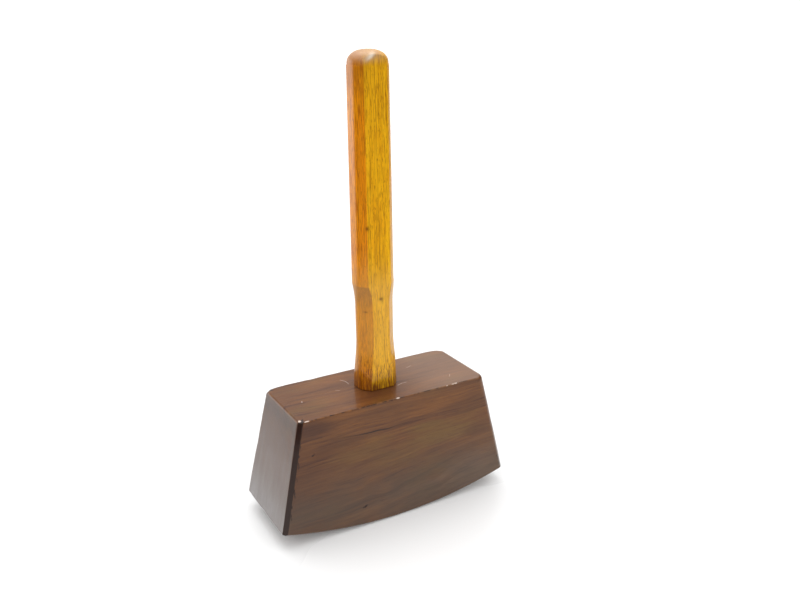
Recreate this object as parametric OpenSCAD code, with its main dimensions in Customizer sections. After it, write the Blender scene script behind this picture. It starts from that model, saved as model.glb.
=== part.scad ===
// Joiner's mallet: a heavy hardwood head with a curved lower face, and an eight-sided
// handle whose tenon runs right through the head and is spread by two wedges.
// Frame: +Z up along the handle, X along the head, Y through its thickness.
// The origin is the lowest point of the curved face, on the axis of the handle.

/* [Head] */
// Length of the head between the two corners of its curved face
face_length = 180; // [150:1:240]
// Length of the head at the throat, the flat face that the handle enters
throat_length = 145; // [110:1:180]
// Height of the head on the handle's axis, throat to curved face
head_height = 90; // [70:1:120]
// How far the curved face bulges out past its two corners
face_bulge = 12; // [6:0.5:20]
// Thickness of the head at the throat
throat_thick = 61; // [48:0.5:80]
// Thickness of the head at the lowest point of the curved face
face_thick = 72; // [56:0.5:90]

/* [Head edges] */
// Leg of the chamfer on the four slanting corners
corner_chamfer = 2.8; // [1:0.1:5]
// Radius that softens the two end edges of the throat
throat_round = 4; // [1:0.5:8]
// Leg of the chamfer along the curved face
face_chamfer = 1.4; // [0.5:0.1:3]

/* [Handle grip] */
// Length of the handle from the throat to the top of its crown
handle_reach = 232; // [180:1:300]
// Width of the grip just under the crown
grip_width_top = 24.6; // [21:0.1:30]
// Width of the grip at its lower end, above the neck
grip_width_base = 26.8; // [22:0.1:32]
// Thickness of the grip, the same from end to end
grip_thick = 21.4; // [18:0.1:26]
// Chamfer leg of the grip's corners just under the crown
grip_chamfer_top = 4.5; // [3:0.1:6.5]
// Chamfer leg of the grip's corners at its lower end
grip_chamfer_base = 5.4; // [3:0.1:6.5]
// Height of the rounded crown
crown_height = 10; // [5:0.5:14]

/* [Handle neck and foot] */
// Width of the neck
neck_width = 25.4; // [20:0.1:30]
// Thickness of the neck
neck_thick = 20.6; // [17:0.1:24]
// Chamfer leg of the neck's corners
neck_chamfer = 7.6; // [5:0.1:8]
// Height of the neck's lower end above the throat
neck_start = 38; // [25:1:45]
// Height above the throat at which the scoop begins to rise from the neck
scoop_start = 61; // [50:1:75]
// Length of the scoop, from the neck to the grip's lower end
scoop_length = 16; // [6:1:25]
// Width of the foot that seats on the throat
foot_width = 27.8; // [24:0.1:34]
// Thickness of the foot that seats on the throat
foot_thick = 23.8; // [20:0.1:30]
// Chamfer leg of the foot's corners
foot_chamfer = 5.7; // [3:0.1:8]

/* [Joint] */
// Length of the mortise at the throat
mortise_length = 21; // [16:0.5:23]
// Width of the mortise, the same all the way through
mortise_width = 15; // [10:0.5:17]
// How much longer the mortise is at the curved face, each side
mortise_flare = 4; // [2:0.5:7]
// Gap left for glue between tenon and mortise, and between wedge and slot
glue_gap = 0.1; // [0.05:0.01:0.2]
// How far the ends of the tenon and wedges lie inside the curved face
end_recess = 0.3; // [0.1:0.1:1]
// Depth of the two saw slots in the tenon
slot_depth = 56; // [30:1:60]
// Width of the saw slots where they end
slot_width = 1.2; // [0.8:0.1:2]
// Distance of the saw slots from the handle's axis, where they end
slot_offset = 4.5; // [3:0.1:6]
// Length of each wedge
wedge_length = 44; // [20:1:50]
// Thickness of each wedge at the curved face
wedge_thick = 4.2; // [2:0.1:5]
// Distance of each wedge from the handle's axis, at the curved face
wedge_offset = 7; // [5:0.1:9]

/* [Hidden] */

// The long shallow arcs of the curved face need many segments to stay true
arc_facets = 720;
crown_facets = 96;
// Straight steps along the flare, the scoop and the crown
flare_steps = 8;
scoop_steps = 6;
crown_steps = 12;
// How far cutting shapes run past what they cut
overrun = 10;
// Overlap that makes the tenon and the handle above it one solid
root = 5;

head_color = [0.26, 0.15, 0.10];
handle_color = [0.80, 0.55, 0.16];
wedge_color = [0.45, 0.28, 0.14];

// The curved face is an arc through both corners and the lowest point
arc_radius = (pow(face_length / 2, 2) + pow(face_bulge, 2)) / (2 * face_bulge);
total_height = head_height + handle_reach;
widest = max(face_thick, throat_thick) + 2 * overrun;

// Outward slope of the ends and of the sides, per millimetre down from the throat
end_slope = (face_length - throat_length) / 2 / (head_height - face_bulge);
side_slope = (face_thick - throat_thick) / 2 / head_height;

// Heights above the throat at which the handle's outline changes
grip_start = scoop_start + scoop_length;
crown_start = handle_reach - crown_height;

function ease(t) = (1 - cos(180 * t)) / 2;
function mix(a, b, t) = a + (b - a) * t;

// Half size of the handle at height h above the throat: a smooth flare from foot to
// neck, a straight neck, a scoop that rises to the grip, and a straight taper above it
function half_size(h, foot, neck, base, top) =
    h <= neck_start ? mix(foot, neck, ease(h / neck_start)) :
    h <= scoop_start ? neck :
    h <= grip_start ? mix(neck, base, pow((h - scoop_start) / scoop_length, 2)) :
    mix(base, top, (h - grip_start) / (crown_start - grip_start));

// Heights at which that outline is sampled, lowest first
outline_heights = concat(
    [for (i = [0 : flare_steps]) neck_start * i / flare_steps],
    [for (i = [0 : scoop_steps]) scoop_start + scoop_length * i / scoop_steps],
    [handle_reach + overrun]);

// Half distance between the corner chamfers of a section
function across_corners(width, thick, leg) = (width / 2 + thick / 2 - leg) / sqrt(2);

// Radius of the handle's outermost corner under the crown
crown_radius = norm([grip_width_top / 2, grip_thick / 2 - grip_chamfer_top]);

// Everything inside the curved face, less a recess, seen from the front
module inside_face(recess) {
    translate([0, arc_radius]) circle(r = arc_radius - recess, $fn = arc_facets);
}

// Turns a shape drawn with X across and Y up into a plate centred on the handle's axis
module stand_up(thick) {
    rotate([90, 0, 0]) linear_extrude(thick, center = true) children();
}

// Front outline of the head, before its face is curved: slanting ends, soft throat edges
module head_outline() {
    half_throat = throat_length / 2;
    half_base = half_throat + end_slope * head_height;
    difference() {
        polygon([[-half_throat, head_height], [half_throat, head_height],
            [half_base, 0], [-half_base, 0]]);
        for (side = [0, 1]) mirror([side, 0]) throat_corner(half_throat);
    }
}

// What a round-over takes off one end of the throat
module throat_corner(half_throat) {
    lean = atan(end_slope);
    tangent = throat_round * tan((90 - lean) / 2);
    difference() {
        polygon([[half_throat - tangent, head_height - throat_round],
            [half_throat - tangent, head_height + 1], [half_throat + tangent, head_height + 1],
            [half_throat + tangent * sin(lean), head_height - tangent * cos(lean)]]);
        translate([half_throat - tangent, head_height - throat_round])
            circle(r = throat_round, $fn = crown_facets);
    }
}

// Side outline of the head: thicker towards the curved face
module head_section() {
    polygon([[-throat_thick / 2, head_height], [throat_thick / 2, head_height],
        [face_thick / 2, 0], [-face_thick / 2, 0]]);
}

// A wheel whose rim is the curved face, with both edges of the rim chamfered
module face_wheel() {
    half = face_thick / 2;
    translate([0, 0, arc_radius]) rotate([90, 0, 0])
        rotate_extrude($fn = arc_facets)
            polygon([[0, -half], [arc_radius - face_chamfer, -half],
                [arc_radius, face_chamfer - half], [arc_radius, half - face_chamfer],
                [arc_radius - face_chamfer, half], [0, half]]);
}

// Block that planes the chamfer on one slanting corner, along the corner's own direction
module corner_cutter() {
    reach = 2 * head_height;
    run = norm([end_slope, side_slope, 1]);
    translate([throat_length / 2, throat_thick / 2, head_height])
        rotate([asin(side_slope / run), -atan(end_slope), 0]) rotate([0, 0, 45])
            translate([-corner_chamfer / sqrt(2), -overrun, -reach])
                cube([2 * overrun, 2 * overrun, 2 * reach]);
}

// Front outline of the mortise, or of the tenon when gap is above nothing
module joint_outline(gap, top) {
    half = mortise_length / 2 - gap;
    slope = mortise_flare / head_height;
    polygon([[-half, head_height], [-half, head_height + top], [half, head_height + top],
        [half, head_height], [half + slope * (head_height + overrun), -overrun],
        [-half - slope * (head_height + overrun), -overrun]]);
}

// Distance of a slot's middle from the axis, and the slot's width, at height z
function slot_middle(z) = mix(wedge_offset, slot_offset, z / slot_depth);
function slot_open(z) = mix(wedge_thick + 2 * glue_gap, slot_width, z / slot_depth);

// One tapering saw slot up to height end, narrowed by gap on each side
module slot_outline(side, end, gap) {
    polygon([for (corner = [[-1, -overrun], [1, -overrun], [1, end], [-1, end]])
        [side * slot_middle(corner[1]) + corner[0] * (slot_open(corner[1]) / 2 - gap), corner[1]]]);
}

module head() {
    color(head_color)
        difference() {
            intersection() {
                stand_up(widest) head_outline();
                rotate([0, 0, 90]) stand_up(face_length + 2 * overrun) head_section();
                face_wheel();
            }
            for (x = [0, 1], y = [0, 1])
                mirror([x, 0, 0]) mirror([0, y, 0]) corner_cutter();
            stand_up(mortise_width) joint_outline(0, overrun);
        }
}

// A slab that carries one pair of opposite faces of the handle
module face_pair(foot, neck, base, top) {
    right = [for (h = outline_heights) [half_size(h, foot, neck, base, top), head_height + h]];
    left = [for (i = [len(right) - 1 : -1 : 0]) [-right[i][0], right[i][1]]];
    stand_up(4 * max(foot, base)) polygon(concat(right, left));
}

// Rounded crown: an ellipse turned about the handle's axis
module crown_limit() {
    arc = [for (i = [0 : crown_steps])
        let (angle = 90 * i / crown_steps)
        [crown_radius * cos(angle), head_height + crown_start + crown_height * sin(angle)]];
    rotate_extrude($fn = crown_facets)
        polygon(concat([[0, 0], [2 * crown_radius, 0],
            [2 * crown_radius, head_height + crown_start]], arc));
}

module handle_body() {
    intersection() {
        face_pair(foot_width / 2, neck_width / 2, grip_width_base / 2, grip_width_top / 2);
        rotate([0, 0, 90])
            face_pair(foot_thick / 2, neck_thick / 2, grip_thick / 2, grip_thick / 2);
        rotate([0, 0, 45]) corner_pair();
        rotate([0, 0, -45]) corner_pair();
        crown_limit();
    }
}

module corner_pair() {
    face_pair(across_corners(foot_width, foot_thick, foot_chamfer),
        across_corners(neck_width, neck_thick, neck_chamfer),
        across_corners(grip_width_base, grip_thick, grip_chamfer_base),
        across_corners(grip_width_top, grip_thick, grip_chamfer_top));
}

module handle() {
    color(handle_color) {
        handle_body();
        stand_up(mortise_width - 2 * glue_gap)
            difference() {
                intersection() {
                    joint_outline(glue_gap, root);
                    inside_face(end_recess);
                }
                for (side = [-1, 1]) slot_outline(side, slot_depth, 0);
            }
    }
}

module wedge(side) {
    color(wedge_color)
        stand_up(mortise_width - 2 * glue_gap)
            intersection() {
                slot_outline(side, wedge_length, glue_gap);
                inside_face(end_recess);
            }
}

module wedge_left() { wedge(-1); }
module wedge_right() { wedge(1); }

head();
handle();
wedge_left();
wedge_right();
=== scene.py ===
"""Finished looks of a joiner's mallet: worn rosewood head, amber handle, two wedges and a white studio."""

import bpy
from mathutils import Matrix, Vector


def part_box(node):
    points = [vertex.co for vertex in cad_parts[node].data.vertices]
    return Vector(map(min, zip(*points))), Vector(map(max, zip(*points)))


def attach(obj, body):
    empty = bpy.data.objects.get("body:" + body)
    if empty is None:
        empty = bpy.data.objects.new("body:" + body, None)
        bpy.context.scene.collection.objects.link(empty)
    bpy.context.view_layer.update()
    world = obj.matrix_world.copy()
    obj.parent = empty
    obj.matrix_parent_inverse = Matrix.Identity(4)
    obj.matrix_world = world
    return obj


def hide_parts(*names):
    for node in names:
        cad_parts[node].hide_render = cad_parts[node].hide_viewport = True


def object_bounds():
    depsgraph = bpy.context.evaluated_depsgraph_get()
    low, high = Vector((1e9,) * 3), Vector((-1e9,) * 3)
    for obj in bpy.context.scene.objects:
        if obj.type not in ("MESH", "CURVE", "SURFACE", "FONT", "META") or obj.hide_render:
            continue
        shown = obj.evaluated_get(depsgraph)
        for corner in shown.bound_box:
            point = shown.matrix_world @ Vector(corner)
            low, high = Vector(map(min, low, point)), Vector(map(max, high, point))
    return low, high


bl_info = {
    "name": "Joiner's Mallet",
    "version": (1, 0, 0),
    "blender": (4, 5, 0),
    "location": "View3D > Sidebar > Mallet",
    "description": "Builds the finished head, handle, wedges and studio of a wooden mallet",
    "category": "Object",
}

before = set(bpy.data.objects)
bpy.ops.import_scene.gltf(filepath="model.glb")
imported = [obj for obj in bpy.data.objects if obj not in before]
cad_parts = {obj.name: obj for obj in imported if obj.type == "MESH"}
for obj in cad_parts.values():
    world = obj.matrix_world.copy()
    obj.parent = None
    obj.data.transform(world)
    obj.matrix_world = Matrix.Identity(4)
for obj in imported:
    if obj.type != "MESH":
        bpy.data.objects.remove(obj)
CAD_LOW, CAD_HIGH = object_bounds()

import math

import bmesh
import bpy
import numpy as np
from bpy.props import FloatProperty, FloatVectorProperty, IntProperty, PointerProperty
from mathutils import Matrix, Vector

MM = 0.001
HEAD_LOW, HEAD_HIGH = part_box("head")
HANDLE_LOW, HANDLE_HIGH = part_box("handle")
THROAT = HEAD_HIGH.z
SHARP_ANGLE = math.radians(40)
JOINING_DISTANCE = 0.001 * MM


# ---------------- settings

def length(name, size, description):
    """A length that a user can change; size is its default in millimetres."""
    return FloatProperty(name=name, default=size * MM, description=description, unit="LENGTH", precision=5)


def tint(name, default, description):
    """A colour that a user can change."""
    return FloatVectorProperty(name=name, default=default, description=description, subtype="COLOR",
                               size=3, min=0.0, max=1.0)


def light(name, default, description):
    """A strength of light that a user can change."""
    return FloatProperty(name=name, default=default, min=0.0, description=description)


def angle(name, degrees, description):
    """An angle that a user can change; degrees is its default."""
    return FloatProperty(name=name, default=math.radians(degrees), subtype="ANGLE", description=description)


class MalletHeadSettings(bpy.types.PropertyGroup):
    """Sizes, wear and colours of the head."""

    throat_length: length("Throat length", 145, "Length of the flat face that the handle enters")
    throat_thickness: length("Throat thickness", 61, "Thickness of the head at the throat")
    face_thickness: length("Face thickness", 72, "Thickness of the head at its lowest point")
    face_bulge: length("Face bulge", 12, "How far the curved face bulges past its corners")
    corner_chamfer: length("Corner chamfer", 2.8, "Leg of the chamfer on the slanting corners")
    face_chamfer: length("Face chamfer", 1.4, "Leg of the chamfer along the curved face")
    throat_round: length("Throat round", 1.8, "Radius of the two end edges of the throat")
    right_growth: length("Right end growth", 1.7, "How much longer the throat is at its right end")
    right_round: length("Right corner round", 6.0, "Radius of the two right corners at the throat")
    arris_radius: length("Arris radius", 0.35, "Radius of an arris that has seen little wear")
    arris_wear: length("Arris wear", 0.7, "How much rounder the most worn stretches are")
    mortise_length: length("Mortise length", 21, "Length of the mortise at the throat")
    mortise_width: length("Mortise width", 15, "Width of the mortise")
    mortise_flare: length("Mortise flare", 4, "Growth of the mortise towards the face, each side")
    dark: tint("Dark streaks", (0.078, 0.026, 0.0105), "Darkest streaks of the rosewood")
    middle: tint("Body colour", (0.150, 0.056, 0.0165), "Main colour of the rosewood")
    warm: tint("Warm streaks", (0.215, 0.078, 0.0170), "Orange-brown streaks of the rosewood")
    olive: tint("Olive streaks", (0.165, 0.083, 0.0200), "Olive streaks of the rosewood")
    corner: tint("Corner flats", (0.016, 0.0045, 0.002), "Dirt-darkened wood of the corner chamfers")
    # Painted sheen: paints the right of the throat and the front low down paler
    painted_sheen: tint("Bloom", (0.34, 0.235, 0.175), "Dull bloom on the rubbed part of the throat")
    # Painted sheen low on the sides and ends, near the curved face
    painted_low_sheen: tint("Dust", (0.074, 0.053, 0.039), "Dull bloom on the sides near the curved face")
    # Painted sheen on the striking ends, with their scuffed end grain: palest low down, darkest near the
    # throat
    scuffed_sheen: tint("Scuffed ends", (0.168, 0.135, 0.120), "Dry, scuffed end grain of the striking ends")
    end_sheen_low: tint("Dry ends, low", (0.275, 0.258, 0.256), "Palest end grain, near the curved face")
    end_sheen_high: tint("Dry ends, high", (0.050, 0.030, 0.020), "Dark end grain near the throat")
    fibre: tint("Fibre shade", (0.80, 0.80, 0.80), "How the finest fibres darken the wood")
    # Bare wood of the chips and scratches, which also paints the pale chips' glint
    bare_wood_and_glint: tint("Chipped wood", (0.62, 0.50, 0.42), "Bare wood in the chips along the arrises")
    seed: IntProperty(name="Seed", default=7, min=0, description="Where the small chips and dents fall")


class MalletHandleSettings(bpy.types.PropertyGroup):
    """Sizes and colours of the handle."""

    grip_width_top: length("Grip width, top", 24.6, "Width of the grip under the crown")
    grip_width_base: length("Grip width, base", 26.8, "Width of the grip above the neck")
    grip_thickness: length("Grip thickness", 21.4, "Thickness of the grip")
    grip_chamfer_top: length("Grip chamfer, top", 4.5, "Chamfer of the grip under the crown")
    grip_chamfer_base: length("Grip chamfer, base", 5.4, "Chamfer of the grip above the neck")
    crown_height: length("Crown height", 10, "Height of the rounded crown")
    narrow_swell: length("Narrow face swell", 1.0, "How far the rounded narrow faces stand out")
    corner_swell: length("Corner swell", 0.45, "How far the rounded corner flats stand out")
    neck_fill: length("Neck fill", 0.9, "How much fuller the neck is on its right side")
    neck_width: length("Neck width", 25.4, "Width of the neck")
    neck_thickness: length("Neck thickness", 20.6, "Thickness of the neck")
    neck_chamfer: length("Neck chamfer", 7.6, "Chamfer of the neck")
    neck_start: length("Neck start", 38, "Height above the throat where the flare ends")
    scoop_start: length("Scoop start", 61, "Height above the throat where the scoop begins to rise")
    scoop_length: length("Scoop length", 16, "Length of the scoop up to the grip")
    foot_width: length("Foot width", 27.8, "Width of the foot on the throat")
    foot_thickness: length("Foot thickness", 23.8, "Thickness of the foot on the throat")
    foot_chamfer: length("Foot chamfer", 5.7, "Chamfer of the foot")
    light: tint("Light grain", (0.97, 0.51, 0.010), "Lightest growth of the amber wood")
    body: tint("Body colour", (0.87, 0.42, 0.005), "Main colour of the amber wood")
    # Painted shade: the narrow faces and corner flats darker and redder than the wide faces; the tone also
    # lies in random patches
    flank: tint("Flanks", (0.88, 0.285, 0.003), "Redder varnish on the narrow faces and corners")
    # Colour of the painted sheen on the neck
    pale: tint("Thin varnish", (0.82, 0.47, 0.075), "Paler wood of the neck, where the varnish is thin")
    # Darker grain on the narrow faces and corners, part of their painted shade
    flank_grain: tint("Flank grain", (0.46, 0.105, 0.002), "Dark grain of the narrow faces and corners")
    # Colour of the painted sheen on top of the crown
    sheened: tint("Rubbed crown", (0.52, 0.32, 0.20), "Dull end grain on top of the crown")
    # Colour of the painted glint on the crown's front edge
    worn: tint("Worn edge", (0.92, 0.80, 0.66), "Bare pale wood where the crown's front edge is worn")
    streak: tint("Streaks", (0.36, 0.120, 0.003), "Dark pores and streaks of the amber wood")
    # Colour of the painted shade on the scooped shoulder, under the grip
    shoulder: tint("Shoulder", (0.34, 0.155, 0.035), "Browned varnish on the scooped shoulder")
    # Stain and dirt, and the colour of the painted shade at the foot
    stain_and_shade: tint("Stain", (0.13, 0.032, 0.003), "Old varnish and dirt at the foot")


class MalletWedgeSettings(bpy.types.PropertyGroup):
    """Finish of the two wedges."""

    edge: length("Edge softening", 0.15, "Width of the bevel on the wedges' edges")
    body: tint("Body colour", (0.085, 0.036, 0.016), "Colour of the wedges' end grain")
    pore: tint("Pores", (0.022, 0.009, 0.005), "Colour of the wedges' pores")


class MalletStudioSettings(bpy.types.PropertyGroup):
    """Floor, light and camera."""

    floor_color: tint("Floor", (0.76, 0.76, 0.76), "Colour of the table")
    top_light: light("Top light", 1.50, "Light of the tent's roof")
    wall_light: light("Wall light", 1.5, "Light of the tent's back and sides near the table")
    shade_light: light("Shade light", 0.60, "Light of the tent's back above the lit band")
    side_light: light("Side light", 1.15, "Extra light of the lamp behind the tent, at the left")
    opening_light: light("Opening light", 0.10, "Light of the room seen through the tent's open front")
    lamp_light: light("Lamp light", 2.1, "Light of the round lamp high up behind the bench")
    fill_light: light("Fill light", 1.35, "Light of the white board above the tent's open front")
    table_glow: light("Table glow", 0.10, "Light that comes up through the white table")
    azimuth: angle("Azimuth", -29.30, "Direction of the camera round the mallet")
    elevation: angle("Elevation", 19.29, "Height of the camera above the horizon")
    roll: angle("Roll", -0.77, "Lean of the camera")
    distance: length("Distance", 637.7, "Distance from the camera to the point it looks at")
    focal: FloatProperty(name="Focal length", default=39.46, description="Focal length in millimetres")


# ---------------- shapes

def eased(part):
    """part held from 0 to 1, with a gentle start and end."""
    part = np.clip(part, 0, 1)
    return part * part * (3 - 2 * part)


class SoftNoise:
    """Smooth, repeatable noise from -1 to 1 that is read at points in space."""

    size = 32

    def __init__(self, seed):
        self.values = np.random.default_rng(seed).uniform(-1, 1, (self.size,) * 3)

    def __call__(self, points, cell):
        """Value at each point; cell is the length, or the three lengths, of one feature."""
        scaled = points / np.asarray(cell, float)
        low = np.floor(scaled).astype(int)
        part = eased(scaled - low)
        total = np.zeros(len(points))
        for corner in np.ndindex(2, 2, 2):
            weight = np.prod(np.where(corner, part, 1 - part), axis=1)
            index = (low + corner) % self.size
            total += weight * self.values[index[:, 0], index[:, 1], index[:, 2]]
        return total


def round_join(a, b, radius):
    """Field of what is inside both a and b, with their shared edge rounded to radius."""
    inside = np.minimum(np.maximum(a, b), -radius)
    return inside + np.hypot(np.maximum(a + radius, 0), np.maximum(b + radius, 0))


def chamfer(a, b, leg):
    """Field of the flat that cuts the edge between a and b, leg wide on each."""
    return (a + b + leg) * math.sqrt(0.5)


def graded(span, fine, coarse, growth=1.18, kept=9):
    """Positions from 0 to 1 along span: fine steps at both ends, coarse steps between."""
    steps = [fine] * kept
    while steps[-1] * growth < coarse:
        steps.append(steps[-1] * growth)
    middle = span - 2 * sum(steps)
    count = max(1, round(middle / coarse))
    steps = steps + [middle / count] * count + steps[::-1]
    return np.concatenate([[0.0], np.cumsum(steps)]) / span


def linked(name, data):
    """A new object of that data, linked into the scene."""
    obj = bpy.data.objects.new(name, data)
    bpy.context.scene.collection.objects.link(obj)
    return obj


def mesh_object(name, points, faces):
    """A mesh object in the scene, smooth but for its sharp edges."""
    mesh = bpy.data.meshes.new(name)
    mesh.from_pydata(points, [], faces)
    mesh.validate()
    obj = linked(name, mesh)
    finish_normals(obj)
    return obj


def finish_normals(obj):
    """Outward faces, shaded smooth but for the sharp edges."""
    work = bmesh.new()
    work.from_mesh(obj.data)
    bmesh.ops.recalc_face_normals(work, faces=work.faces)
    work.to_mesh(obj.data)
    work.free()
    obj.data.shade_smooth()
    obj.data.set_sharp_from_angle(angle=SHARP_ANGLE)


def combine(obj, tool, operation):
    """Applies a boolean of obj and tool to obj, then removes tool."""
    modifier = obj.modifiers.new("combine", "BOOLEAN")
    modifier.object = tool
    modifier.operation = operation
    modifier.solver = "EXACT"
    graph = bpy.context.evaluated_depsgraph_get()
    result = bpy.data.meshes.new_from_object(obj.evaluated_get(graph), depsgraph=graph)
    obj.modifiers.clear()
    old = obj.data
    obj.data = result
    bpy.data.meshes.remove(old)
    bpy.data.objects.remove(tool)
    finish_normals(obj)
    return obj


def coordinates(obj):
    """The vertices of obj as rows of a table."""
    flat = np.empty(len(obj.data.vertices) * 3)
    obj.data.vertices.foreach_get("co", flat)
    return flat.reshape(-1, 3)


def store(obj, name, values):
    """Keeps one number per vertex under name, for the materials to read."""
    attribute = obj.data.attributes.new(name, "FLOAT", "POINT")
    attribute.data.foreach_set("value", np.asarray(values, np.float32))


# Chips along the top arris that show bare wood and a painted glint: place, and half size along x, y and z, in
# millimetres
PALE_CHIPS = (
    ((-71.3, -27.6, 90.0), (0.9, 0.9, 0.35)),
    ((-67.0, -30.6, 90.0), (1.7, 0.7, 0.4)),
    ((0.4, -31.0, 90.1), (1.0, 0.7, 0.5)),
    ((1.9, -30.4, 90.1), (1.2, 0.8, 0.5)),
    ((42.0, -30.9, 90.0), (0.7, 0.55, 0.4)),
    ((46.9, -30.9, 90.1), (1.0, 0.75, 0.45)),
    ((49.4, -30.4, 90.1), (1.1, 0.6, 0.4)),
)

# Chips that have gone dark: the notches along the front left corner and round the pale chips
DARK_CHIPS = (
    ((-69.6, -29.6, 89.8), (0.8, 0.6, 0.5)),
    ((44.5, -31.5, 89.7), (1.6, 0.8, 0.8)),
    ((52.3, -31.4, 89.9), (2.4, 0.8, 0.7)),
    ((56.5, -31.3, 90.1), (1.5, 0.6, 0.5)),
    ((4.6, -31.3, 90.0), (1.6, 0.7, 0.6)),
    ((-75.4, -31.9, 59.5), (0.45, 0.5, 3.4)),
    ((-77.4, -32.5, 50.0), (0.35, 0.4, 2.2)),
    ((-79.9, -33.2, 40.5), (0.5, 0.5, 4.6)),
    ((-83.6, -34.2, 24.0), (0.35, 0.4, 3.0)),
    ((-73.0, -31.2, 71.0), (0.3, 0.4, 4.0)),
)

# Dents in the front side of the head: place on it along x and z, and half size, in millimetres
DENTS = (
    ((-64.7, 64.6), (0.75, 0.45)),
    ((-63.8, 65.4), (0.45, 0.4)),
    ((-28.9, 15.0), (1.5, 0.42)),
    ((-27.6, 15.9), (0.9, 0.36)),
    ((-57.5, 76.0), (0.35, 0.3)),
    ((12.0, 40.0), (0.4, 0.25)),
)

# Small chips scattered along the long arrises and up the corners
LONG_CHIPS, CORNER_CHIPS = 34, 20

# Sizes of the worn stretches of an arris, and how far from a tip its extra wear fades
WEAR_PATCH, WEAR_FLECK, TIP_REACH = 17 * MM, 6 * MM, 7 * MM

# Where the rounder right corners, back corners and end edges come in
RIGHT_EASE, BACK_EASE, END_EASE = 20 * MM, 10 * MM, 6 * MM

# Height and length of the planing marks, and how far the worn skin lies inside the block
WAVE, WAVE_CELL, RIPPLE, RIPPLE_CELL, INSET = 0.05 * MM, 26 * MM, 0.012 * MM, 5 * MM, 0.05 * MM

# How soon the colour of a corner flat, a chip or a dent fades across its edge
FLAT_FADE, PALE_FADE, DARK_FADE, DENT_FADE = 0.12 * MM, 0.08 * MM, 0.06 * MM, 0.12 * MM

# Spacing of the head's grid lines: at its arrises, along it, and across it
GRID_FINE, GRID_ALONG, GRID_ACROSS = 0.3 * MM, 0.8 * MM, 1.0 * MM


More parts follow.
